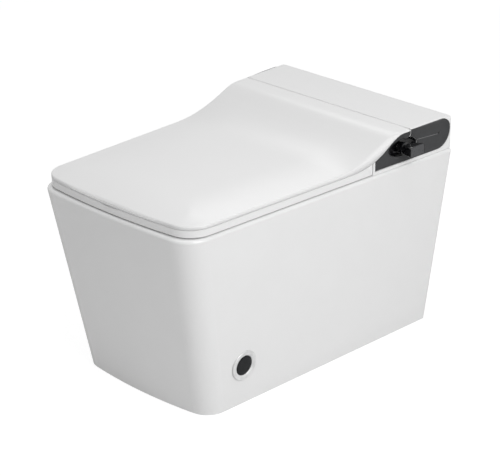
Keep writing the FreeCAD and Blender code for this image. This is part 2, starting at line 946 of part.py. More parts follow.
def rear_cover():
    outer = cover_space("cover_outer", 0, "0", 0, "trough")
    wall = number("cover_wall")
    inner = cover_space("cover_inner", number("cover_side"), "cover_wall", wall, "trough + 2.6")

    def rear_edge(edge):
        b = edge.BoundBox
        return b.ZMin > number("crest") - 0.5 and b.YMin > number("cover_seam") + 0.5

    soft = rounded("cover_soft", outer, "cover_round", lambda e: rear_edge(e) and e.BoundBox.YMin > 280)
    skin = band("cover_skin", -5, number("panel_recess"))
    recess = common("panel_recess_cut", skin, panel_region("recess_region", 0))
    slots = [
        box(f"arm_slot_{side}", (str(min(side * 108, side * 130)), str(max(side * 108, side * 130))),
            ("60", "hinge_y + 8"), ("388", "460"))
        for side in (-1, 1)
    ]
    for side in (-1, 1):
        for a, b in ((96.5, 107.5), (177.5, 188.5)):
            low, high = sorted((side * a, side * b))
            length = ("hinge_y - 46", "hinge_y + 7")
            slots.append(box(f"bracket_slot_{low:.0f}", (str(low), str(high)), length, ("386", "460")))
    mouth = box("bay_mouth", ("-bay_half", "bay_half"), ("60", "cover_front + 8"), ("380", "402"))
    knob_hole = oval("knob_hole", "0.3", "190", "50")
    cord_hole = rod("cord_hole", "y", "8.2", ("60", "290", "400"), "20")
    node(
        "rear_cover",
        cut("rear_cover", soft, inner, recess, *slots, mouth, knob_hole, cord_hole),
    )


def side_panels():
    layer = band("panel_layer", number("panel_recess - panel_thick"), number("panel_recess"))
    both = common("panels_both", layer, panel_region("panel_shape", 0.3))
    right = common(
        "panel_right_half", both, box("right_half", ("0", "260"), ("0", "310"), ("300", "460"))
    )
    left = common(
        "panel_left_half", both, box("left_half", ("-260", "0"), ("0", "310"), ("300", "460"))
    )
    hole = oval("panel_hole", "0.3", "190", "50")
    node("side_panel_right", cut("side_panel_right", right, hole))
    node("side_panel_left", left)


def chassis_plate():
    """Base plate of the washing unit, with a notch for the nozzle bay and slots over the well."""
    owner = body("chassis_plate")
    outline_points = [
        ("-206", "cover_front + 5"),
        ("-bay_half - 1", "cover_front + 5"),
        ("-bay_half - 1", "128"),
        ("-24", "128"),
        ("-24", "152"),
        ("24", "152"),
        ("24", "128"),
        ("bay_half + 1", "128"),
        ("bay_half + 1", "cover_front + 5"),
        ("206", "cover_front + 5"),
        ("206", "rear - 10"),
        ("-206", "rear - 10"),
    ]
    pad(owner, polygon(owner, "chassis_outline", "z", outline_points, "rim_top"), "plate")
    doc.recompute()
    hose_way = [("-144", "230"), ("-144", "250"), ("-124", "250"), ("-124", "230")]
    pocket(owner, polygon(owner, "hose_opening", "z", hose_way, "rim_top"), "20")
    for side in (-1, 1):
        reach = f"{side} * bolt_x"
        hole = disc(owner, f"bolt_hole_{side}", "z", "bolt + 0.3", "rim_top", (reach, "bolt_y"))
        pocket(owner, hole, "20")
    node("chassis_plate", owner)


# ---------------------------------------------------------------- fixings and foot sensor


def fixing_bolts():
    """Two bolts with washers and nuts that hold the washing unit to the deck."""
    made = []
    for side in (-1, 1):
        x, top, under_deck = f"{side} * bolt_x", "(rim_top + plate)", "(rim_top - deck)"
        length = f"{top} - {under_deck} + 12"
        shank = rod(f"bolt_shank_{side}", "z", "bolt", (x, "bolt_y", f"{under_deck} - 12"), length)
        head = rod(f"bolt_head_{side}", "z", "2 * bolt", (x, "bolt_y", top), "4")
        washer = rod(f"bolt_washer_{side}", "z", "13", (x, "bolt_y", f"{under_deck} - 2"), "2")
        nut = rod(f"bolt_nut_{side}", "z", "7.5", (x, "bolt_y", f"{under_deck} - 9"), "7")
        made.append(fuse(f"bolt_{side}", shank, head, washer, nut))
    node("fixing_bolts", group("fixing_bolts", *made))


def foot_sensor():
    """Satin ring, dark lens and the tube behind them, set square to the sloping side."""
    ring_points = [
        ("-1", "sensor_lens + 0.6"),
        ("-1", "sensor_ring"),
        ("0.6", "sensor_ring"),
        ("1.6", "sensor_ring - 1.6"),
        ("1.6", "sensor_lens + 1.4"),
        ("1", "sensor_lens + 0.6"),
    ]
    lens_points = [
        ("-5", "0"),
        ("-5", "sensor_lens"),
        ("0.3", "sensor_lens"),
        ("0.9", "sensor_lens - 2"),
        ("0.9", "0"),
    ]
    tube_points = [
        ("-30", "0"),
        ("-30", "23"),
        ("-1", "23"),
        ("-1", "sensor_lens + 0.6"),
        ("-5.2", "sensor_lens + 0.6"),
        ("-5.2", "16"),
        ("-27", "16"),
        ("-27", "0"),
    ]
    for name, points in (
        ("foot_sensor_ring", ring_points),
        ("foot_sensor_lens", lens_points),
        ("foot_sensor_housing", tube_points),
    ):
        piece = turned(name, "z", points, None)
        piece.Placement = sensor_frame()
        node(name, piece)


# ---------------------------------------------------------------- knob


def oval(name, grow, start, length):
    """An oval block round the knob's axis, along X."""
    edge = doc.addObject("Part::Ellipse", name + "_edge")
    edge.Placement.Rotation = Rotation(Vector(1, 1, 1), 120)
    bind(
        edge,
        MajorRadius=f"dish_long + {grow}",
        MinorRadius=f"dish_high + {grow}",
        Placement__Base__x=start,
        Placement__Base__y="knob_y + 2",
        Placement__Base__z="knob_z + 1",
    )
    thing = doc.addObject("Part::Extrusion", name)
    thing.Base = edge
    thing.DirMode = "Custom"
    thing.Dir = Vector(1, 0, 0)
    thing.Solid = True
    return bind(thing, LengthFwd=length)


def knob_parts():
    """Oval dish in the side panel, encoder behind it, and the grip on a flatted shaft."""
    y, z = "knob_y", "knob_z"
    cup = cut(
        "knob_dish",
        oval("dish_outside", "0", "205", "12.6"),
        oval("dish_inside", "-2.5", "208.5", "12"),
        rod("dish_hole", "x", "6.4", ("204", y, z), "8"),
        rod("dish_notch", "x", "trough + 0.3", ("200", "hinge_y", "hinge_z"), "20"),
    )
    node("knob_dish", cup)
    case = box("encoder_case", ("190", "204.8"), (f"{y} - 10", f"{y} + 10"), (f"{z} - 10", f"{z} + 10"))
    bore = rod("encoder_bore", "x", "6 + running", ("192", y, z), "14")
    node("knob_encoder", cut("knob_encoder", case, bore))
    flat = ("knob_y - 8", "knob_y + 8"), ("knob_z + 2.42", "knob_z + 8")
    rotor_bore = rod("rotor_bore", "x", "pin + 0.02", ("190", y, z), "20")
    way = cut("rotor_way", rotor_bore, box("rotor_flat", ("190", "210"), *flat))
    rotor = cut("encoder_rotor", rod("rotor_outside", "x", "6", ("192.5", y, z), "15.5"), way)
    node("encoder_rotor", rotor)
    shaft = cut(
        "knob_shaft",
        rod("shaft_round", "x", "pin", ("196", y, z), "40"),
        box("shaft_flat", ("190", "212"), ("knob_y - 8", "knob_y + 8"), ("knob_z + 2.38", "knob_z + 8")),
    )
    node("knob_shaft", shaft)
    stem = rod("grip_stem", "x", "11", ("213", y, z), "23.5")
    bar = box("grip_bar", ("236", "250"), (f"{y} - 13", f"{y} + 28"), (f"{z} - 11", f"{z} + 11"))
    grip = cut("knob_grip", fuse("grip_solid", stem, bar), rod("grip_bore", "x", "pin", ("212", y, z), "24"))
    node("knob_grip", grip)


# ---------------------------------------------------------------- nozzle bay


def tilted(thing):
    """Lays a piece made in the wand's own frame along the wand."""
    thing.Placement = Placement(
        Vector(0, number("wand_y"), number("wand_z")), Rotation(Vector(1, 0, 0), number("wand_tilt"))
    )
    return thing


def nozzle_bay():
    """Open tub hung on the deck, with the wand's way out, the warm air outlet and the air inlet."""
    wide = ("-bay_half", "bay_half")
    tub = box("tub_outside", wide, ("bay_front", "bay_rear"), ("bay_floor", "bay_top"))
    flange_width = ("-bay_half - 14", "bay_half + 14")
    flange = box("tub_flange", flange_width, ("0", "bay_rear"), ("bay_top - 2", "bay_top"))
    room = box(
        "tub_room",
        ("-bay_half + bay_wall", "bay_half - bay_wall"),
        ("bay_front + bay_wall", "bay_rear + 2"),
        ("bay_floor + bay_wall", "bay_top + 2"),
    )
    ledges = [
        box(
            f"tub_ledge_{side}",
            tuple(sorted((f"{side} * 70", f"{side} * 74"), key=number)),
            ("bay_front + 1", "bay_rear"),
            ("bay_top - 4.6", "bay_top - 2.6"),
        )
        for side in (-1, 1)
    ]
    lugs = [
        box(f"flap_lug_{x}", (str(x), str(x + 2)), ("bay_front - 4.5", "bay_front"), ("366", "371"))
        for x in (24, 70)
    ]
    hinge_holes = rod("flap_lug_holes", "x", "1.25", ("20", "bay_front - 2.5", "368.5"), "60")
    way_out = fuse(
        "wand_way_out",
        rod("wand_way", "y", "wand + 1.5", ("0", "-60", "0"), "60"),
        box("rack_way", ("-4.5", "4.5"), ("-60", "0"), ("-14.5", "0")),
    )
    tilted(way_out)
    outlet = box("air_outlet", ("30", "66"), ("bay_front - 1", "bay_front + 5"), ("337", "361"))
    slots = [
        box(
            f"inlet_slot_{i}",
            ("-66", "-30"),
            ("bay_front - 1", "bay_front + 5"),
            (f"338 + {i} * 6", f"341 + {i} * 6"),
        )
        for i in range(4)
    ]
    shell = fuse("tub_shell", cut("tub_walls", fuse("tub_solid", tub, flange), room), *ledges, *lugs)
    node("nozzle_bay", cut("nozzle_bay", shell, hinge_holes, way_out, outlet, *slots))
    cover = box(
        "nozzle_bay_lid",
        ("-bay_half + bay_wall + 0.3", "bay_half - bay_wall - 0.3"),
        ("bay_front + bay_wall + 0.3", "seat_rear - 0.5"),
        ("bay_top - 2.6", "bay_top"),
    )
    node("nozzle_bay_lid", cover)


def wand_parts():
    """Guide, wand with its rack and tip, and the motor's pinion under it."""
    lengthwise = ("0", "10", "0")
    case = box("guide_case", ("-13", "13"), ("10", "156"), ("-9.5", "11"))
    guide = cut(
        "nozzle_guide",
        case,
        rod("guide_bore", "y", "wand + 0.03", ("0", "9", "0"), "143"),
        box("guide_slot", ("-3.5", "3.5"), ("9", "152"), ("-10", "-5")),
        rod("guide_port", "y", "2.6", ("0", "150", "0"), "10"),
    )
    node("nozzle_guide", tilted(guide))
    flat = box("wand_flat", ("-9", "9"), ("10", "160"), ("-9", "-wand + 1"))
    wand = cut(
        "spray_wand",
        rod("wand_round", "y", "wand", ("0", "14", "0"), "wand_length - 14"),
        flat,
        rod("wand_lumen", "y", "2.6", ("0", "14", "0"), "wand_length"),
    )
    node("spray_wand", tilted(wand))
    profile = [("0", "0"), ("0", "5"), ("1.5", "7.2"), ("4", "wand"), ("14", "wand"), ("14", "0")]
    tip = turned("tip_round", "y", profile, None)
    jets = [rod(f"tip_jet_{i}", "z", "0.9", ("0", str(5 + 2.6 * i), "3"), "8") for i in range(3)]
    tip_flat = box("tip_flat", ("-9", "9"), ("8", "16"), ("-9", "-wand + 1"))
    node("nozzle_tip", tilted(cut("nozzle_tip", tip, tip_flat, *jets)))
    rack()
    pinion()
    motor = cut(
        "wand_motor",
        rod("motor_round", "x", "10", ("-26", "30", "-20"), "18"),
        rod("motor_bore", "x", "spindle + running", ("-16", "30", "-20"), "10"),
    )
    node("wand_motor", tilted(motor))


RACK_TEETH = 40


def rack():
    """Straight rack under the wand; a gap sits over the pinion when the wand is parked."""
    owner = body("wand_rack")
    bar = [("20", "-wand + 1"), ("20", "-10.75"), ("148", "-10.75"), ("148", "-wand + 1")]
    pad(owner, polygon(owner, "rack_bar", "x", bar, "-3"), "6")
    first = "30 - 2.5 * pi * tooth"
    tooth_shape = [
        (f"{first} - 1.05", "-10.7"),
        (f"{first} - 0.25", "-13"),
        (f"{first} + 0.25", "-13"),
        (f"{first} + 1.05", "-10.7"),
    ]
    tooth = pad(owner, polygon(owner, "rack_tooth", "x", tooth_shape, "-3"), "6")
    row = owner.newObject("PartDesign::LinearPattern", "rack_row")
    row.Originals = [tooth]
    row.Direction = ([f for f in owner.Origin.OriginFeatures if f.Role == "Y_Axis"][0], [""])
    row.Occurrences = RACK_TEETH
    bind(row, Length=f"{RACK_TEETH - 1} * pi * tooth")
    owner.Tip = row
    node("wand_rack", tilted(owner))


def pinion():
    """Gear on the motor's spindle; one tooth points straight up into the rack."""
    owner = body("wand_pinion")
    pad(owner, disc(owner, "pinion_root", "x", "tooth * (pinion_teeth / 2 - 1.25)", "-3"), "6")
    reach = "tooth * (pinion_teeth / 2 + 1)"
    shape = [("-1.0", "6.4"), ("-0.3", reach), ("0.3", reach), ("1.0", "6.4")]
    tooth = pad(owner, polygon(owner, "pinion_tooth", "x", shape, "-3"), "6")
    ringed(owner, tooth, "X_Axis", SIZES["pinion_teeth"])
    spindle = rod("pinion_spindle", "x", "spindle", ("-14", "0", "0"), "14")
    gear = fuse("pinion_solid", owner, spindle)
    bind(gear, Placement__Base__y="30", Placement__Base__z="-20")
    node("wand_pinion", tilted(group("wand_pinion", gear)))


# ---------------------------------------------------------------- air: drying and deodorising


def duct(name):
    """Flat duct from the fan down to the bay's front wall, open at both ends."""
    outside = [
        ("bay_front + 2.8", "336"),
        ("80", "358"),
        ("100", "364"),
        ("134.3", "394.4"),
        ("123.3", "408.4"),
        ("103", "386"),
        ("80", "378.8"),
        ("bay_front + 2.8", "362"),
    ]
    inside = [
        ("bay_front", "338.1"),
        ("79.7", "360.2"),
        ("98.9", "366.1"),
        ("135", "398.4"),
        ("127", "408.6"),
        ("104.4", "384.3"),
        ("80.3", "376.7"),
        ("bay_front", "359.8"),
    ]
    shell, room = body(name + "_shell"), body(name + "_room")
    pad(shell, polygon(shell, name + "_outline", "x", outside, "30"), "36")
    pad(room, polygon(room, name + "_bore", "x", inside, "32"), "32")
    return cut(name, shell, room)


def fan_housing(name, motor_boss):
    """Round blower case with its outlet towards the duct and a hole for the spindle."""
    at = ("fan_y", "fan_z")
    case = rod(name + "_case", "x", "fan_case", ("40", *at), "28")
    room = rod(name + "_room", "x", "fan_case - 2.2", ("42", *at), "24")
    mouth = box(name + "_mouth", ("33", "63"), ("-30", "0"), ("-7.5", "7.5"))
    mouth.Placement = Placement(
        Vector(number("9"), number("fan_y"), number("fan_z")), Rotation(Vector(1, 0, 0), 38)
    )
    spindle_start = "34" if motor_boss else "60"
    spindle = rod(name + "_spindle_hole", "x", "spindle + running", (spindle_start, *at), "12")
    foot = box(name + "_foot", ("44", "64"), ("fan_y - 6", "fan_y + 6"), ("rim_top + plate", "fan_z - 22"))
    solid = [case, foot]
    if motor_boss:
        solid.append(rod(name + "_boss", "x", "12", ("32", *at), "10"))
    inlet = rod(name + "_inlet", "x", "9", ("64", *at), "6") if motor_boss else None
    tools = [room, mouth, spindle] + ([inlet] if inlet else [])
    return cut(name, fuse(name + "_solid", *solid), *tools)


def vane(name, size, corner, turn, centre):
    """A thin block turned about a spindle, its corner given before the turn."""
    thing = doc.addObject("Part::Box", name)
    thing.Length, thing.Width, thing.Height = size
    thing.Placement = Placement(centre + turn.multVec(Vector(*corner)), turn)
    return thing


def fan_wheel(name, spindle_start, spindle_length):
    """Disc, hub and straight blades on a spindle."""
    at = ("fan_y", "fan_z")
    pieces = [
        rod(name + "_disc", "x", "fan_wheel", ("44.5", *at), "2"),
        rod(name + "_hub", "x", "6", ("44.5", *at), "18"),
        rod(name + "_spindle", "x", "spindle", (spindle_start, *at), spindle_length),
    ]
    centre = Vector(45, number("fan_y"), number("fan_z"))
    size = 17, 1.6, number("fan_wheel") - 5
    for i in range(12):
        turn = Rotation(Vector(1, 0, 0), i * 30)
        pieces.append(vane(f"{name}_blade_{i}", size, (0, -0.8, 5), turn, centre))
    return fuse(name, *pieces)


def air_parts():
    node("dryer_duct", duct("dryer_duct"))
    node("deodoriser_duct", mirrored("deodoriser_duct", duct("deodoriser_duct_source")))
    node("dryer_fan_housing", fan_housing("dryer_fan_housing", False))
    source = fan_housing("deodoriser_housing_source", True)
    node("deodoriser_fan_housing", mirrored("deodoriser_fan_housing", source))
    node("dryer_impeller", fan_wheel("dryer_impeller", "44.5", "36"))
    second_wheel = fan_wheel("deodoriser_wheel_source", "35", "20")
    node("deodoriser_impeller", mirrored("deodoriser_impeller", second_wheel))
    at = ("fan_y", "fan_z")
    motor = cut(
        "dryer_motor",
        fuse(
            "dryer_motor_solid",
            rod("dryer_motor_can", "x", "15", ("68.2", *at), "25"),
            box(
                "dryer_motor_foot",
                ("74", "88"),
                ("fan_y - 5", "fan_y + 5"),
                ("rim_top + plate", "fan_z - 12"),
            ),
        ),
        rod("dryer_motor_bore", "x", "spindle + running", ("68", *at), "14"),
    )
    node("dryer_motor", motor)
    heater = cut(
        "dryer_heater",
        box("heater_frame", ("33", "63"), ("20", "58"), ("358.4", "368.4")),
        *[
            box(f"heater_gap_{i}", (f"35 + {i} * 5.4", f"38.6 + {i} * 5.4"), ("19", "60"), ("360", "366.8"))
            for i in range(5)
        ],
    )
    node("dryer_heater", heater)
    plate = box("flap_plate", ("27", "69"), ("bay_front - 3.3", "bay_front - 1.7"), ("335", "368.5"))
    flap_pin = rod("flap_pin", "x", "1.2", ("24", "bay_front - 2.5", "368.5"), "48")
    eye = rod("flap_eye", "x", "1.9", ("27", "bay_front - 2.5", "368.5"), "42")
    node("dryer_flap", fuse("dryer_flap", plate, flap_pin, eye))
    cartridge = cut(
        "carbon_cartridge",
        box("cartridge_block", ("-92", "-68.3"), ("128", "176"), ("rim_top + plate", "425")),
        *[
            box(f"cartridge_slot_{i}", ("-93", "-90"), (f"131 + {i} * 6", f"134 + {i} * 6"), ("392", "421"))
            for i in range(7)
        ],
    )
    node("carbon_cartridge", cartridge)


# ---------------------------------------------------------------- flush water


def flush_parts():
    """Tank in the well, pump under it, and the water inlet at the rear."""
    wall = "tank_wall"
    tank_plan = ("tank_left", "tank_right"), ("tank_front", "tank_back")
    shell = cut(
        "flush_tank",
        box("tank_outside", *tank_plan, ("tank_low", "tank_top")),
        box(
            "tank_inside",
            (f"tank_left + {wall}", f"tank_right - {wall}"),
            (f"tank_front + {wall}", f"tank_back - {wall}"),
            (f"tank_low + {wall}", "tank_top + 1"),
        ),
        rod("tank_drain", "z", "14", ("0", "pump_y", "tank_low - 1"), "8"),
        rod("tank_fill", "z", "2.6", ("inlet_x + 10", "240", "tank_low - 1"), "8"),
    )
    node("flush_tank", shell)
    top = box("tank_lid", *tank_plan, ("tank_top", "rim_top - 0.5"))
    node("tank_lid", top)
    casing = [
        ("pump_low", "spindle + 2 + running"),
        ("pump_low", "42"),
        ("pump_top", "42"),
        ("pump_top", "18"),
        ("tank_low", "18"),
        ("tank_low", "14"),
        ("pump_top - 8", "14"),
        ("pump_top - 8", "34"),
        ("pump_low + 8", "34"),
        ("pump_low + 8", "spindle + 2 + running"),
    ]
    spout = rod("pump_spout", "x", "5", ("30", "pump_y", "178"), "20")
    start = ("0", "pump_y", "0")
    node("flush_pump_housing", cut("flush_pump_housing", turned("pump_casing", "z", casing, start), spout))
    wheel = [rod("pump_shaft", "z", "spindle + 2", ("0", "pump_y", "110"), "74")]
    wheel.append(rod("pump_disc", "z", "30", ("0", "pump_y", "162"), "4"))
    centre = Vector(0, number("pump_y"), 165)
    for i in range(6):
        turn = Rotation(Vector(0, 0, 1), i * 60)
        wheel.append(vane(f"pump_vane_{i}", (26, 3, 24), (3.5, -1.5, 0), turn, centre))
    node("flush_impeller", fuse("flush_impeller", *wheel))
    can = [
        ("85", "0"),
        ("85", "28"),
        ("145", "28"),
        ("pump_low", "20"),
        ("pump_low", "spindle + 2 + running"),
        ("106", "spindle + 2 + running"),
        ("106", "0"),
    ]
    node("flush_pump_motor", turned("flush_pump_motor", "z", can, ("0", "pump_y", "0")))
    fitting = [
        ("0", "6"),
        ("0", "15"),
        ("6", "15"),
        ("6", "thread + 2"),
        ("17", "thread + 2"),
        ("17", "thread"),
        ("31", "thread"),
        ("31", "7"),
        ("3", "7"),
        ("3", "6"),
    ]
    node("inlet_fitting", turned("inlet_fitting", "y", fitting, ("inlet_x", "258", "inlet_z")))
    valve = fuse(
        "inlet_valve",
        box(
            "valve_block",
            ("inlet_x - 20", "inlet_x + 20"),
            ("222", "258"),
            ("inlet_z - 20", "inlet_z + 20"),
        ),
        rod("valve_coil", "x", "13", ("inlet_x - 44", "240", "inlet_z"), "24"),
        rod("valve_stem_0", "z", "4.5", ("inlet_x + 10", "240", "inlet_z + 19"), "6"),
        rod("valve_stem_1", "z", "4.5", ("inlet_x - 10", "240", "inlet_z + 19"), "6"),
    )
    node("inlet_valve", valve)


def bent_path(points, bend):
    """Straight runs through the points, with every corner rounded to one bend radius."""
    edges, last = [], points[0]
    for before, corner, after in zip(points, points[1:], points[2:]):
        arriving = (corner - before).normalize()
        leaving = (after - corner).normalize()
        half = arriving.getAngle(leaving) / 2
        begin = corner - arriving * (bend * math.tan(half))
        finish = corner + leaving * (bend * math.tan(half))
        inward = (leaving - arriving).normalize()
        middle = corner + inward * (bend / math.cos(half) - bend)
        edges += [line(last, begin), arc(begin, middle, finish)]
        last = finish
    edges.append(line(last, points[-1]))
    return Part.Wire(edges)


def hose(name, radius, bore, points):
    """A round hose along straight runs and even bends."""
    route = [Vector(*(number(v) for v in p)) for p in points]
    path = bent_path(route, 4 * number(bore))
    leaving = (route[1] - route[0]).normalize()

    def swept(size):
        section = Part.Wire(Part.makeCircle(number(size), route[0], leaving))
        return path.makePipeShell([section], True, False)

    thing = doc.addObject("Part::Feature", name)
    thing.Shape = swept(radius).cut(swept(bore))
    return thing


def water_hoses():
    tilt = math.radians(number("wand_tilt"))
    port, corner = [
        ("0", f"wand_y + {reach * math.cos(tilt)}", f"wand_z + {reach * math.sin(tilt)}")
        for reach in (156.3, 196)
    ]
    valve, rise, high = "inlet_x - 10", "inlet_x - 54", "rim_top + plate - 0.2"
    hoses = [
        hose(
            "heater_hose",
            "4",
            "2.6",
            [(valve, "240", "175.2"), (valve, "240", "190"), (rise, "240", "205"), (rise, "240", high)],
        ),
        hose(
            "tank_hose",
            "4",
            "2.6",
            [("inlet_x + 10", "240", "175.2"), ("inlet_x + 10", "240", "tank_low - 0.2")],
        ),
        hose("selector_hose", "3", "2", [("-109.8", "selector_y", "420"), ("-98.2", "selector_y", "420")]),
        hose(
            "wand_hose",
            "3.5",
            "2.4",
            [
                port,
                corner,
                ("-40", "192", "397"),
                ("selector_x", "192", "398"),
                ("selector_x", "selector_y - 18.4", "398"),
            ],
        ),
        hose(
            "jet_hose",
            "7",
            "4",
            [("42.4", "pump_y", "178"), ("80", "pump_y", "178"), ("80", "-201", "178"), ("61.2", "-201", "178")],
        ),
    ]
    node("water_hoses", group("water_hoses", *hoses))


# ---------------------------------------------------------------- pieces on the chassis plate


def chassis_pieces():
    base = "rim_top + plate"
    tank = box("heater_tank", ("-200", "-110"), ("205", "285"), (base, "436"))
    lug = box("heater_lug", ("-204", "-106"), ("235", "255"), (base, f"{base} + 3"))
    node("instant_water_heater", cut("instant_water_heater", fuse("heater_solid", tank, lug),
                                     rod("heater_port", "z", "2.6", ("-134", "240", "380"), "12")))
    selector = [
        (base, "0"),
        (base, "18"),
        ("412", "18"),
        ("412", "15"),
        ("424", "15"),
        ("424", "18"),
        ("430", "18"),
        ("436", "12"),
        ("436", "0"),
    ]
    node("flow_selector", turned("flow_selector", "z", selector, ("selector_x", "selector_y", "0")))
    node(
        "air_pump",
        fuse(
            "air_pump",
            rod("air_pump_can", "y", "15", ("-25", "208", "408"), "55"),
            box("air_pump_foot", ("-37", "-13"), ("212", "258"), (base, "400")),
        ),
    )
    supply = box("supply_case", ("20", "100"), ("205", "276"), (base, "425"))
    ribs = [
        box(f"supply_rib_{i}", (f"26 + {i} * 10", f"30 + {i} * 10"), ("204", "277"), ("421", "426"))
        for i in range(7)
    ]
    node("power_supply", cut("power_supply", supply, *ribs))
    board = [
        box("board_sheet", ("110", "200"), ("208", "290"), ("395", "396.6")),
        box("board_chip", ("130", "150"), ("225", "245"), ("396.6", "399")),
        box("board_relay", ("160", "178"), ("225", "240"), ("396.6", "411")),
        rod("board_capacitor", "z", "6", ("125", "270", "396.6"), "16"),
    ]
    board += [
        rod(f"board_post_{x}_{y}", "z", "3", (str(x), str(y), base), f"395 - {base}")
        for x in (116, 194)
        for y in (214, 284)
    ]
    node("control_board", fuse("control_board", *board))
    gland = [
        ("-20", "gland_bore"),
        ("-20", "7"),
        ("-16", "7"),
        ("-16", "12"),
        ("-cover_side - 0.3", "12"),
        ("-cover_side - 0.3", "8"),
        ("0", "8"),
        ("0", "gland_bore"),
    ]
    node("mains_gland", turned("mains_gland", "y", gland, ("gland_x", "rear", "gland_z")))


def build():
    ceramic_parts()
    outlet_seal()
    lid_parts()
    seat_parts()
    pads("seat_bumpers", [(x, y) for x in (-150, 150) for y in (-280, 40)], "rim_top", "seat_under", "9")
    pads("lid_bumpers", [(-140, -300), (140, -300)], "lid_under - seat_gap", "lid_under", "7")
    hinge_parts()
    rear_cover()
    side_panels()
    chassis_plate()
    fixing_bolts()
    foot_sensor()
    knob_parts()
    nozzle_bay()
    wand_parts()
    air_parts()
    flush_parts()
    water_hoses()
    chassis_pieces()


def check_and_write():
    doc.recompute()
    for thing in doc.Objects:
        if "Invalid" in thing.State or "Error" in thing.State:
            raise RuntimeError(f"{thing.Name} failed: {thing.State}")
    os.makedirs("parts", exist_ok=True)
    for name, thing in NODES.items():
        shape = thing.Shape
        if shape.isNull() or not shape.isValid():
            raise RuntimeError(f"{name} has no valid shape")
        shape.exportStep(f"parts/{name}.step")
        print(f"{name}: {len(shape.Solids)} solids, {shape.Volume / 1000:.1f} cm3")


build()
check_and_write()
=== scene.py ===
import json
import math

import bmesh
import bpy
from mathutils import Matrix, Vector
from mathutils.bvhtree import BVHTree

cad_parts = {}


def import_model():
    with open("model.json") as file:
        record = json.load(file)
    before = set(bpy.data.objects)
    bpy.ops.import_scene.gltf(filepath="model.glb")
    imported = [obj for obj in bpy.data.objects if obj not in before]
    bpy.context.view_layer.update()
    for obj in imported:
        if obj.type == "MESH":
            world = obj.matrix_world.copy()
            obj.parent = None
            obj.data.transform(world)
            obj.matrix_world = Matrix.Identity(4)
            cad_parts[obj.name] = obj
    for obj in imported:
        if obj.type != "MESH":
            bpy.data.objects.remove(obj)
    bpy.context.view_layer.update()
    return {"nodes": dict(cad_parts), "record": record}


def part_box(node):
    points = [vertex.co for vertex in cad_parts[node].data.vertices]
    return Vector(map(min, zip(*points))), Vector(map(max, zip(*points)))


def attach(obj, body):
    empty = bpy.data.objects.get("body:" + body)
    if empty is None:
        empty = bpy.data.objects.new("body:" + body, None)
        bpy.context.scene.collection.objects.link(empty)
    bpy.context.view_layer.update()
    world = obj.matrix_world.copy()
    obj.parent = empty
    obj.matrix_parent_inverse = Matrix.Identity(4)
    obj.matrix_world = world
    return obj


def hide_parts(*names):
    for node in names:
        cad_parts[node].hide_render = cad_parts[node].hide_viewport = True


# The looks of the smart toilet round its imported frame: metres, +Z up, +Y to the wall, +X the knob's side.

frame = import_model()
NODES = frame["nodes"]
MM = 0.001


# ---------------------------------------------------------------- materials

MATERIALS = {}  # every material by its name; a CAD node takes the one named as its material slot
FACTOR_LOW, FACTOR_HIGH = 0.3, 0.7  # the part of a noise's range that is stretched over a spread


class Surface:
    """A Principled material with colour mottling, roughness variation and a fine relief."""

    def __init__(self, name):
        self.material = bpy.data.materials.new(name)
        self.material.use_nodes = True
        self.tree = self.material.node_tree
        self.shader = self.tree.nodes["Principled BSDF"]
        self.place = self.tree.nodes.new("ShaderNodeTexCoord").outputs["Object"]
        MATERIALS[name] = self.material

    def set(self, name, value):
        """A fixed value on one of the shader's sockets."""
        self.shader.inputs[name].default_value = value

    def add(self, kind, **inputs):
        """A node whose named inputs are linked, or set to a value."""
        made = self.tree.nodes.new(kind)
        for name, value in inputs.items():
            socket = made.inputs[name.replace("_", " ")]
            if isinstance(value, bpy.types.NodeSocket):
                self.tree.links.new(value, socket)
            else:
                socket.default_value = value
        return made

    def link(self, output, name):
        self.tree.links.new(output, self.shader.inputs[name])

    def noise(self, scale, detail, stretch=None):
        """Noise over the object's own space, scale in features per metre."""
        place = self.place
        if stretch:
            place = self.add("ShaderNodeMapping", Vector=self.place, Scale=stretch).outputs["Vector"]
        return self.add("ShaderNodeTexNoise", Vector=place, Scale=scale, Detail=detail).outputs["Fac"]

    def spread(self, factor, low, high):
        """A factor stretched onto a range of values."""
        node = self.add(
            "ShaderNodeMapRange",
            Value=factor,
            From_Min=FACTOR_LOW,
            From_Max=FACTOR_HIGH,
            To_Min=low,
            To_Max=high,
        )
        return node.outputs["Result"]

    def tint(self, factor, first, second):
        """A factor turned into a colour between two."""
        ramp = self.tree.nodes.new("ShaderNodeValToRGB")
        self.tree.links.new(factor, ramp.inputs["Fac"])
        ramp.color_ramp.elements[0].color = (*first, 1)
        ramp.color_ramp.elements[1].color = (*second, 1)
        ramp.color_ramp.elements[0].position = FACTOR_LOW
        ramp.color_ramp.elements[1].position = FACTOR_HIGH
        return ramp.outputs["Color"]

    def relief(self, height, depth):
        """A bump of that depth in metres."""
        bump = self.add("ShaderNodeBump", Height=height, Distance=depth, Strength=1.0)
        self.link(bump.outputs["Normal"], "Normal")


def toned(colour, factor):
    """A lighter or darker shade of a colour."""
    return tuple(min(c * factor, 1.0) for c in colour)


def plain(name, colour, roughness, mottle, patch, grain, depth, coat=0.0, gloss=0.5, uneven=0.15):
    """Moulded, painted or glazed surface: slow mottling, uneven gloss and a fine grain.

    Patch and grain count features per metre, depth is the grain's height in millimetres, and mottle
    and uneven are the shares by which the colour and the roughness vary.
    """
    s = Surface(name)
    slow = s.noise(patch, 4)
    s.link(s.tint(slow, toned(colour, 1 - mottle), toned(colour, 1 + mottle)), "Base Color")
    wear = s.noise(patch * 3, 3)
    s.link(s.spread(wear, roughness * (1 - uneven), roughness * (1 + uneven)), "Roughness")
    s.set("Specular IOR Level", gloss)
    if coat:
        s.set("Coat Weight", coat)
        s.set("Coat Roughness", 0.04)
    s.relief(s.noise(grain, 2), depth * MM)
    return s.material


SCRATCHES = 60  # scratches per metre along their own length
SCRATCH_DEPTH = 0.03 * MM


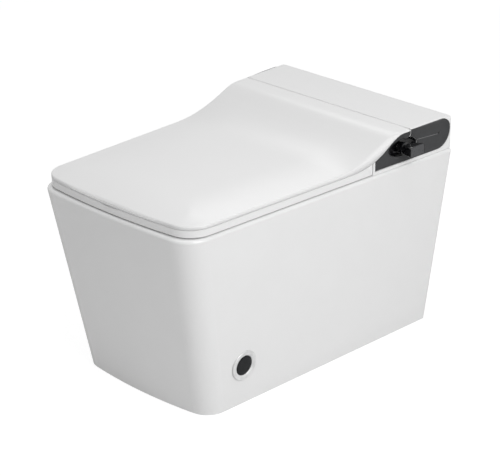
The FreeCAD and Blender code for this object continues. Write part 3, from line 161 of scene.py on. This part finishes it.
def brushed(name, colour, roughness, stretch=(1, 30, 30), metallic=1.0):
    """Metal with fine scratches: stretch says how much denser they lie along X, Y and Z."""
    s = Surface(name)
    lines = s.noise(SCRATCHES, 6, stretch)
    s.link(s.tint(lines, toned(colour, 0.86), toned(colour, 1.08)), "Base Color")
    s.link(s.spread(lines, roughness * 0.7, roughness * 1.4), "Roughness")
    s.set("Metallic", metallic)
    s.relief(lines, SCRATCH_DEPTH)
    return s.material


WHITE = (0.86, 0.86, 0.86)

plain("glazed_ceramic", WHITE, 0.14, 0.006, 14, 60, 0.02, coat=0.5)
white_plastic = plain("white_plastic", WHITE, 0.3, 0.003, 8, 600, 0.0002, uneven=0.03)
dark_panel = plain("dark_panel", (0.05, 0.051, 0.053), 0.38, 0.06, 60, 1500, 0.003, gloss=0.22)
gloss_black = plain("gloss_black", (0.004, 0.004, 0.005), 0.08, 0.1, 60, 300, 0.002, coat=0.25, gloss=0.3)
dark_grip = plain("dark_grip", (0.075, 0.076, 0.08), 0.3, 0.06, 80, 1500, 0.003, gloss=0.3)
# painted highlight: this pale grey stands in for the light that the panel's fine crease catches
painted_crease_highlight = plain("painted_crease_highlight", (0.2, 0.2, 0.205), 0.3, 0.05, 200, 900, 0.002)
dark_lens = plain("dark_lens", (0.018, 0.0185, 0.02), 0.2, 0.08, 90, 400, 0.002, gloss=0.12)
satin_ring = brushed("satin_ring", (0.8, 0.8, 0.8), 0.36, (1, 1, 1), 0.3)
plain("grey_plastic", (0.6, 0.61, 0.62), 0.42, 0.03, 30, 1200, 0.006)
plain("tank_plastic", (0.72, 0.73, 0.74), 0.5, 0.04, 20, 900, 0.01)
plain("glass_filled_plastic", (0.09, 0.09, 0.095), 0.55, 0.1, 60, 1200, 0.02)
plain("damper_plastic", (0.78, 0.77, 0.72), 0.38, 0.03, 30, 900, 0.004)
brushed("stainless_steel", (0.58, 0.58, 0.57), 0.28)
plain("rubber", (0.42, 0.42, 0.42), 0.75, 0.06, 40, 1200, 0.02)
plain("hose_rubber", (0.66, 0.66, 0.64), 0.45, 0.04, 40, 700, 0.01)
brushed("heater_foil", (0.75, 0.75, 0.74), 0.3)
brushed("motor_can", (0.34, 0.35, 0.36), 0.4, (30, 1, 1))
brushed("brass", (0.7, 0.52, 0.26), 0.3, (1, 30, 1))
plain("circuit_board", (0.02, 0.14, 0.055), 0.35, 0.15, 200, 1500, 0.01)
brushed("supply_case", (0.52, 0.53, 0.54), 0.38)


def dress_frame():
    """Every carried-over CAD node gets the material of its slot."""
    for part in frame["record"]["subparts"]:
        thing = NODES[part["node"]]
        thing.data.materials.clear()
        thing.data.materials.append(MATERIALS[part["material_slot"]])


SAME_POINT = 0.01 * MM  # vertices closer than this are one
SOFT_FROM = 50  # edges that bend by more degrees than this are rounded


def soften(width, *nodes):
    """Breaks the sharp edges of CAD nodes by a small round."""
    for node in nodes:
        weld = NODES[node].modifiers.new("weld", "WELD")
        weld.merge_threshold = SAME_POINT
        bevel = NODES[node].modifiers.new("bevel", "BEVEL")
        bevel.width = width * MM
        bevel.segments = 3
        bevel.limit_method = "ANGLE"
        bevel.angle_limit = math.radians(SOFT_FROM)
        bevel.harden_normals = True


# ---------------------------------------------------------------- detailed pieces


def record_of(node):
    """The body that a CAD node rides on, and its material slot."""
    bodies = frame["record"]["behaviour"]["bodies"]
    body = next(name for name, nodes in bodies.items() if node in nodes)
    slot = next(p["material_slot"] for p in frame["record"]["subparts"] if p["node"] == node)
    return body, slot


def stand_in(name, bm, node, *materials, crease=35):
    """A detailed piece in a CAD node's place, on its body."""
    bmesh.ops.recalc_face_normals(bm, faces=bm.faces)
    mesh = bpy.data.meshes.new(name)
    bm.to_mesh(mesh)
    bm.free()
    stale = mesh.attributes.get("custom_normal")  # the normals of the CAD shape before its change
    if stale:
        mesh.attributes.remove(stale)
    for material in materials:
        mesh.materials.append(material)
    mesh.shade_smooth()
    mesh.set_sharp_from_angle(angle=math.radians(crease))
    piece = bpy.data.objects.new(name, mesh)
    bpy.context.scene.collection.objects.link(piece)
    body, slot = record_of(node)
    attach(piece, body)
    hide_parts(node)
    return piece


def copy_of(node):
    """A CAD node's shape as one welded skin, to be refined."""
    bm = bmesh.new()
    bm.from_mesh(NODES[node].data)
    bmesh.ops.remove_doubles(bm, verts=bm.verts, dist=SAME_POINT)
    return bm


def sliced(bm, geom, axis, begin, end, step):
    """The geometry after cuts across X, Y or Z, one step apart between two places."""
    normal = Vector([axis == k for k in range(3)])
    place = begin + step / 2
    while place < end:
        geom = bmesh.ops.bisect_plane(bm, geom=geom, plane_co=normal * place, plane_no=normal)["geom"]
        place += step
    return geom


def join_rings(bm, rings, loop=False, caps=(None, None)):
    """Skins a row of rings of points, and closes its ends with faces of the given materials."""
    made = [[bm.verts.new(point) for point in ring] for ring in rings]
    pairs = list(zip(made, made[1:]))
    if loop:
        pairs.append((made[-1], made[0]))
    for a, b in pairs:
        for i in range(len(a)):
            j = (i + 1) % len(a)
            bm.faces.new((a[i], a[j], b[j], b[i]))
    for end, material in zip((made[0], made[-1]), caps):
        if material is not None:
            bm.faces.new(end).material_index = material


def oval_ring(x, middle, half, power=2.0, count=64):
    """A ring between an ellipse and a rectangle, in millimetres, in a plane across X."""
    ring = []
    for i in range(count):
        turn = 2 * math.pi * (i + 0.5) / count
        c, s = math.cos(turn), math.sin(turn)
        reach = (abs(c) ** power + abs(s) ** power) ** (-1 / power)
        ring.append(Vector((x, middle[0] + half[0] * reach * c, middle[1] + half[1] * reach * s)) * MM)
    return ring


def joint_place(name):
    """Where a joint of the record turns, in metres."""
    joints = frame["record"]["behaviour"]["joints"]
    return next(joint["pos_m"] for joint in joints if joint["name"] == name)


# The knob and its dish, in millimetres.
KNOB = [place / MM for place in joint_place("knob_turn")[1:]]  # the knob's axis in Y and Z
DISH = (166.0, 419.0)  # middle of the oval dish round it
DISH_HALF = (40.0, 17.0)  # half its length and half its height
STEM_HOLE = 6.6  # radius of the hole in its floor
DISH_FOOT = 205.0  # X of its back
DISH_FLOOR = 208.6  # X of its floor

HINGE = Vector(joint_place("lid_hinge"))
TROUGH = 12.0 * MM  # the dish keeps this far from the hinge line, where the lid's end turns


def knob_grip():
    """Round stem with a collar that flares into a flat grip bar, with a lipped end face."""
    sections = [  # x, shift of the middle along Y, half length, half height, squareness
        (213, 0, 11, 11, 2),
        (221.6, 0, 11, 11, 2),
        (222.2, 0, 12.6, 12.6, 2),
        (225.4, 0, 12.6, 12.6, 2),
        (226, 0, 11, 11, 2),
        (227.6, 1, 12, 10, 2.6),
        (230, 3.5, 15, 9.6, 3.5),
        (233.5, 5.8, 17.6, 9.4, 5),
        (238, 7, 19, 9.6, 7),
        (243, 7.4, 19.8, 10.2, 8),
        (247.6, 7.5, 20.5, 11, 9),
        (249.4, 7.5, 20.4, 10.9, 9),
        (249.9, 7.5, 20.0, 10.5, 9),
        (249.9, 7.5, 19.6, 10.1, 9),
        (249.5, 7.5, 19.3, 9.8, 9),
    ]
    rings = []
    for x, shift, long, high, power in sections:
        rings.append(oval_ring(x, (KNOB[0] + shift, KNOB[1]), (long, high), power))
    bm = bmesh.new()
    join_rings(bm, rings, caps=(0, 1))
    stand_in("knob_grip_bar", bm, "knob_grip", gloss_black, dark_grip)


def knob_dish():
    """Glossy oval dish: a rolled lip, a steep wall and a floor with the stem's hole."""
    wall = [  # x and share of the full oval
        (DISH_FOOT, 1.0),
        (216.8, 1.0),
        (217.4, 0.992),
        (217.6, 0.98),
        (217.3, 0.966),
        (216.2, 0.955),
        (213, 0.93),
        (210.6, 0.88),
        (209.2, 0.8),
        (DISH_FLOOR, 0.66),
    ]
    rings = [oval_ring(x, DISH, (DISH_HALF[0] * share, DISH_HALF[1] * share)) for x, share in wall]
    rings += [oval_ring(x, KNOB, (STEM_HOLE, STEM_HOLE)) for x in (DISH_FLOOR, DISH_FOOT)]
    for ring in rings:
        for point in ring:
            away = Vector((0, point.y - HINGE.y, point.z - HINGE.z))
            if away.length < TROUGH:
                away *= TROUGH / away.length
                point.y, point.z = HINGE.y + away.y, HINGE.z + away.z
    bm = bmesh.new()
    join_rings(bm, rings, loop=True)
    stand_in("knob_dish_oval", bm, "knob_dish", gloss_black)


OUTSIDE = 0.3  # an X beyond the right side, from which rays reach the panel


def on_panel(skin, y, z):
    """The point of the right panel's face at that place, in metres."""
    return skin.ray_cast(Vector((OUTSIDE, y, z)), Vector((-1, 0, 0)))[0]


def ridge(bm, skin, begin, end, width, height, material):
    """A fine raised line on the panel from one point to another, in Y and Z."""
    steps = 24
    section = ((-1, -0.4), (-0.6, 0.6), (0, 1), (0.6, 0.6), (1, -0.4))  # share of width and of height
    across = Vector((0, -(end[1] - begin[1]), end[0] - begin[0])).normalized() * width * MM
    rows = []
    for i in range(steps + 1):
        share = i / steps
        y, z = (begin[k] + (end[k] - begin[k]) * share for k in (0, 1))
        row = []
        for side, rise in section:
            hit = on_panel(skin, y * MM + across.y * side, z * MM + across.z * side)
            row.append(bm.verts.new(hit + Vector((rise * height * MM, 0, 0))))
        rows.append(row)
    for a, b in zip(rows, rows[1:]):
        for i in range(len(section)):
            j = (i + 1) % len(section)
            bm.faces.new((a[i], a[j], b[j], b[i])).material_index = material
    for row in (rows[0], rows[-1]):
        bm.faces.new(row).material_index = material


def dot(bm, skin, middle, radius, height, material):
    """A small round lens on the panel."""
    foot = on_panel(skin, middle[0] * MM, middle[1] * MM)
    rings = []
    for share, rise in ((1, -1.0), (1, 0.3), (0.85, 0.75), (0.5, 1.0)):
        x = foot.x / MM + rise * height
        rings.append(oval_ring(x, middle, (radius * share, radius * share), count=24))
    before = len(bm.faces)
    join_rings(bm, rings, caps=(material, material))
    bm.faces.ensure_lookup_table()
    for face in bm.faces[before:]:
        face.material_index = material


# The lid's outline, in millimetres.
RIM_FRONT = -396.0  # Y at which the lid is as wide as twice LID_HALF
LID_HALF = 197.7
LID_SPREAD = 0.0414  # how much wider each side grows per millimetre of Y
LID_FRONT = -390.0
LID_BOW = 1410.0  # radius of the front edge
LID_CORNER = 51.0

# The lid's top, in millimetres.
LID_ROUND = 9.0  # the frame's round along its edge
LID_EDGE = 2.0  # the smaller round of the real lid
LID_SKIN = 4.0  # no point of the hollow's ceiling lies further than this under the top
CROWN_WIDTH = 105.0  # how far in from the edge the top starts to fall
CROWN_CELL = 9.0  # size of the cells that the top is cut into
TOP_SLANT = 0.9  # least upward part of a normal on the level top
CROWN_END = -60.0  # in front of this Y the top takes the crown's own normals
SLOPE_BEGIN, SLOPE_END = 10.0, 130.0  # the crown fades out between these places in Y


def lid_inset(x, y):
    """Distance in from the lid's outline, in millimetres."""
    side = (LID_HALF + LID_SPREAD * (y - RIM_FRONT) - abs(x)) / math.hypot(1, LID_SPREAD)
    front = LID_BOW - math.hypot(x, y - LID_FRONT - LID_BOW)
    if side < LID_CORNER and front < LID_CORNER:
        return LID_CORNER - math.hypot(LID_CORNER - side, LID_CORNER - front)
    return min(side, front)


def quarter(distance, radius):
    """Height gained over a quarter round of that radius."""
    left = max(1 - distance / radius, 0)
    return radius * math.sqrt(1 - left * left)


def crown_height(inset):
    """Height of the real lid's top above its side wall, in millimetres."""
    fall = max(1 - inset / CROWN_WIDTH, 0) ** 2
    return quarter(inset, LID_EDGE) + (LID_ROUND - LID_EDGE) * (1 - fall)


def crown_normals(mesh):
    """Gives the front of the lid the crown's exact normals and leaves the rest as they are."""
    normals = []
    for v in mesh.vertices:
        x, y = v.co.x / MM, v.co.y / MM
        if v.normal.z < TOP_SLANT or y > CROWN_END or lid_inset(x, y) < LID_EDGE + 1:
            normals.append((0, 0, 0))
            continue
        across = crown_height(lid_inset(x - 1, y)) - crown_height(lid_inset(x + 1, y))
        along = crown_height(lid_inset(x, y - 1)) - crown_height(lid_inset(x, y + 1))
        normals.append(Vector((across, along, 2)).normalized())
    mesh.normals_split_custom_set_from_vertices(normals)


def crown_shift(v, top):
    """How far a vertex of the lid moves up or down, in millimetres, where the top is at that height."""
    slants = [face.normal.z for face in v.link_faces]
    height = (v.co.z - top) / MM + LID_ROUND
    inset = max(lid_inset(v.co.x / MM, v.co.y / MM), 0)
    if min(slants) < -0.3 and height > LID_ROUND - LID_SKIN:  # the hollow's ceiling
        return crown_height(inset) - LID_ROUND
    if max(slants) < 0.1 or min(slants) < -0.1 or height < 0:  # the side wall and the underside
        return 0
    if height <= LID_ROUND - 0.5:  # on the frame's round the height tells the inset exactly
        inset = LID_ROUND * (1 - math.sqrt(1 - (height / LID_ROUND) ** 2))
    return crown_height(inset) - height


def crowned_lid():
    """The lid with a softly falling top: a wide crown in front that fades out up the slope."""
    bm = copy_of("lid_shell")
    bm.normal_update()
    skin = BVHTree.FromBMesh(bm)
    faces = [face for face in bm.faces if abs(face.normal.z) > 0.3]
    geom = list({part for face in faces for part in (*face.verts, *face.edges)}) + faces
    low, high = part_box("lid_shell")
    for axis in (0, 1):
        geom = sliced(bm, geom, axis, low[axis], high[axis], CROWN_CELL * MM)
    bm.normal_update()
    for v in bm.verts:
        middle = skin.ray_cast(Vector((0, v.co.y, 1)), Vector((0, 0, -1)))[0]
        if middle is None:
            continue
        along = min(max((v.co.y / MM - SLOPE_BEGIN) / (SLOPE_END - SLOPE_BEGIN), 0), 1)
        share = 1 - along * along * (3 - 2 * along)
        v.co.z += crown_shift(v, middle.z) * share * MM
    lid = stand_in("lid_crowned", bm, "lid_shell", white_plastic, crease=70)
    crown_normals(lid.data)


PANEL_END = 30.0  # radius of the panels' round rear end, in millimetres
PANEL_CELL = 2.5  # size of the cells that they are cut into, lengthwise only near that end
PANEL_BELLY = 192.0  # behind this Y the panel's edges rise too
PANEL_DEPTH = 1.0  # how deep the middle of the face lies
PANEL_RISE = 2.6  # how far the edge stands above the middle
PANEL_FLAT = 0.55  # share of the way from the middle to the edge that stays flat
LINE_BEGIN, LINE_END = (205.5, 423.8), (264.5, 420.1)  # the fine line on the right panel, in Y and Z
LIGHT_MIDDLE = (269.5, 421.3)  # the small round lens behind its end


def side_panel(side, node, name):
    """The dark panel, dished: its face lies deep in the middle and rises to its rear end."""
    bm = copy_of(node)
    low, high = (Vector(corner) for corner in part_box(node))
    for axis, begin in ((1, high.y - 2 * PANEL_END * MM), (2, low.z)):
        sliced(bm, bm.verts[:] + bm.edges[:] + bm.faces[:], axis, begin, high[axis], PANEL_CELL * MM)
    middle = Vector((0, high.y - PANEL_END * MM, (low.z + high.z) / 2))
    face_points = {v for face in bm.faces if face.normal.x * side > 0.7 for v in face.verts}
    for v in face_points:
        along = max(v.co.y - middle.y, 0) / (PANEL_END * MM)
        up = (v.co.z - middle.z) / (high.z - middle.z)
        reach = min(math.hypot(along, up), 1) if along > 0 else 0
        if v.co.y > PANEL_BELLY * MM:
            reach = max(reach, min(abs(up), 1))
        rise = max(reach - PANEL_FLAT, 0) / (1 - PANEL_FLAT)
        v.co.x += side * (PANEL_RISE * rise * rise - PANEL_DEPTH) * MM
    if side > 0:
        skin = BVHTree.FromBMesh(bm)
        # the raised line is coloured with the painted crease highlight, on top of its real relief
        ridge(bm, skin, LINE_BEGIN, LINE_END, width=0.55, height=0.3, material=1)
        dot(bm, skin, LIGHT_MIDDLE, radius=2.2, height=0.5, material=2)
    stand_in(name, bm, node, dark_panel, painted_crease_highlight, gloss_black, crease=50)


def facing(node):
    """Middle and outward direction of a round node's front face."""
    mesh = NODES[node].data
    outward = Vector()
    for face in mesh.polygons:
        if face.normal.x > 0.8:
            outward += face.normal * face.area
    outward.normalize()
    low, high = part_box(node)
    middle = (Vector(low) + Vector(high)) / 2
    front = max(v.co.dot(outward) for v in mesh.vertices)
    return middle + outward * (front - middle.dot(outward)), outward


def lathe(profile, middle, outward, count=96):
    """Rings of a profile of radius and height in millimetres, turned about a direction."""
    turn = outward.to_track_quat("Z", "Y")
    rings = []
    for radius, height in profile:
        ring = []
        for i in range(count):
            angle = 2 * math.pi * i / count
            spot = Vector((radius * math.cos(angle), radius * math.sin(angle), height)) * MM
            ring.append(middle + turn @ spot)
        rings.append(ring)
    return rings


def foot_sensor():
    """Satin ring with a soft outer shoulder and an inner step, and a shallow domed lens in it."""
    middle, outward = facing("foot_sensor_ring")
    profile = [
        (30, -2.6),
        (30, -1.1),
        (29.7, -0.6),
        (29.0, -0.2),
        (28.0, 0),
        (25.5, -0.1),
        (23.2, -0.35),
        (21.6, -0.75),
        (20.8, -1.3),
        (20.3, -2.0),
        (20.1, -2.6),
    ]
    bm = bmesh.new()
    join_rings(bm, lathe(profile, middle, outward), loop=True)
    stand_in("foot_sensor_bezel", bm, "foot_sensor_ring", satin_ring)

    middle, outward = facing("foot_sensor_lens")
    profile = [(19.4, -5.9), (19.4, -1.0), (19.2, -0.7), (18.6, -0.45), (17, -0.25), (12, -0.08), (5, 0)]
    bm = bmesh.new()
    join_rings(bm, lathe(profile, middle, outward), caps=(0, 0))
    stand_in("foot_sensor_window", bm, "foot_sensor_lens", dark_lens)


# ---------------------------------------------------------------- floor, light and camera

LENS = 141.56  # in millimetres on a sensor 36 mm wide
CAMERA_PLACE = (2.4541, -2.5420, 1.7590)
CAMERA_TURN = (66.3954, 0, 44.3063)  # in degrees
FLOOR_SIZE = 14  # in metres
FLOOR_GLOW = 0.86  # what the camera sees without any lamp
FLOOR_MATT = 0.26  # how much of the lamps' light and shadow comes on top of that
ROOM_LIGHT = 0.43  # strength of the even light from all round


def floor():
    """White ground that keeps the shadow."""
    bpy.ops.mesh.primitive_plane_add(size=FLOOR_SIZE)
    ground = bpy.context.object
    ground.name = "floor"
    s = Surface("floor")
    tree = s.tree
    s.set("Base Color", (0.82, 0.82, 0.82, 1))
    s.set("Roughness", 0.9)
    glow = s.add("ShaderNodeEmission", Color=(1, 1, 1, 1), Strength=FLOOR_GLOW)
    matt = s.add("ShaderNodeBsdfDiffuse", Color=(FLOOR_MATT, FLOOR_MATT, FLOOR_MATT, 1))
    seen = tree.nodes.new("ShaderNodeAddShader")
    tree.links.new(glow.outputs[0], seen.inputs[0])
    tree.links.new(matt.outputs[0], seen.inputs[1])
    path = tree.nodes.new("ShaderNodeLightPath")
    mix = tree.nodes.new("ShaderNodeMixShader")
    tree.links.new(path.outputs["Is Camera Ray"], mix.inputs[0])
    tree.links.new(s.shader.outputs[0], mix.inputs[1])
    tree.links.new(seen.outputs[0], mix.inputs[2])
    tree.links.new(mix.outputs[0], tree.nodes["Material Output"].inputs["Surface"])
    ground.data.materials.append(s.material)


def world():
    """Even room light, seen as white by the camera and in gloss and glass."""
    sky = bpy.data.worlds.new("room")
    sky.use_nodes = True
    bpy.context.scene.world = sky
    tree = sky.node_tree
    light = tree.nodes["Background"]
    light.inputs["Color"].default_value = (1, 1, 1, 1)
    light.inputs["Strength"].default_value = ROOM_LIGHT
    white = tree.nodes.new("ShaderNodeBackground")
    white.inputs["Color"].default_value = (1, 1, 1, 1)
    path = tree.nodes.new("ShaderNodeLightPath")
    seen = path.outputs["Is Camera Ray"]
    for ray in ("Is Glossy Ray", "Is Transmission Ray"):
        either = tree.nodes.new("ShaderNodeMath")
        either.operation = "MAXIMUM"
        tree.links.new(seen, either.inputs[0])
        tree.links.new(path.outputs[ray], either.inputs[1])
        seen = either.outputs[0]
    mix = tree.nodes.new("ShaderNodeMixShader")
    tree.links.new(seen, mix.inputs[0])
    tree.links.new(light.outputs[0], mix.inputs[1])
    tree.links.new(white.outputs[0], mix.inputs[2])
    tree.links.new(mix.outputs[0], tree.nodes["World Output"].inputs["Surface"])


def softbox(name, place, aim, size, power):
    """A rectangular lamp of that size in metres and power in watts, not seen by the camera."""
    data = bpy.data.lights.new(name, "AREA")
    data.shape = "RECTANGLE"
    data.size, data.size_y = size
    data.energy = power
    lamp = bpy.data.objects.new(name, data)
    bpy.context.scene.collection.objects.link(lamp)
    lamp.location = place
    lamp.rotation_euler = (Vector(place) - Vector(aim)).to_track_quat("Z", "Y").to_euler()
    lamp.visible_camera = False


def camera():
    """The photograph's own view, worked out from the object's outline."""
    data = bpy.data.cameras.new("camera")
    data.lens = LENS
    data.sensor_width = 36
    eye = bpy.data.objects.new("camera", data)
    bpy.context.scene.collection.objects.link(eye)
    eye.location = CAMERA_PLACE
    eye.rotation_euler = [math.radians(turn) for turn in CAMERA_TURN]
    bpy.context.scene.camera = eye


# ---------------------------------------------------------------- the scene

dress_frame()
soften(1.2, "seat_top_shell", "rear_cover")
crowned_lid()
knob_grip()
knob_dish()
side_panel(1, "side_panel_right", "side_panel_right_dished")
side_panel(-1, "side_panel_left", "side_panel_left_dished")
foot_sensor()
floor()
world()
softbox("key", place=(2.6, -0.4, 1.8), aim=(0, -0.1, 0.25), size=(1.8, 1.6), power=36)
softbox("top", place=(0.2, -0.6, 2.4), aim=(0, -0.1, 0.4), size=(2.0, 2.0), power=10)
softbox("glow", place=(-1.75, 2.25, 2.45), aim=(0.19, -0.2, 0.41), size=(1.2, 0.6), power=6)
camera()
bpy.context.scene.view_settings.view_transform = "Standard"
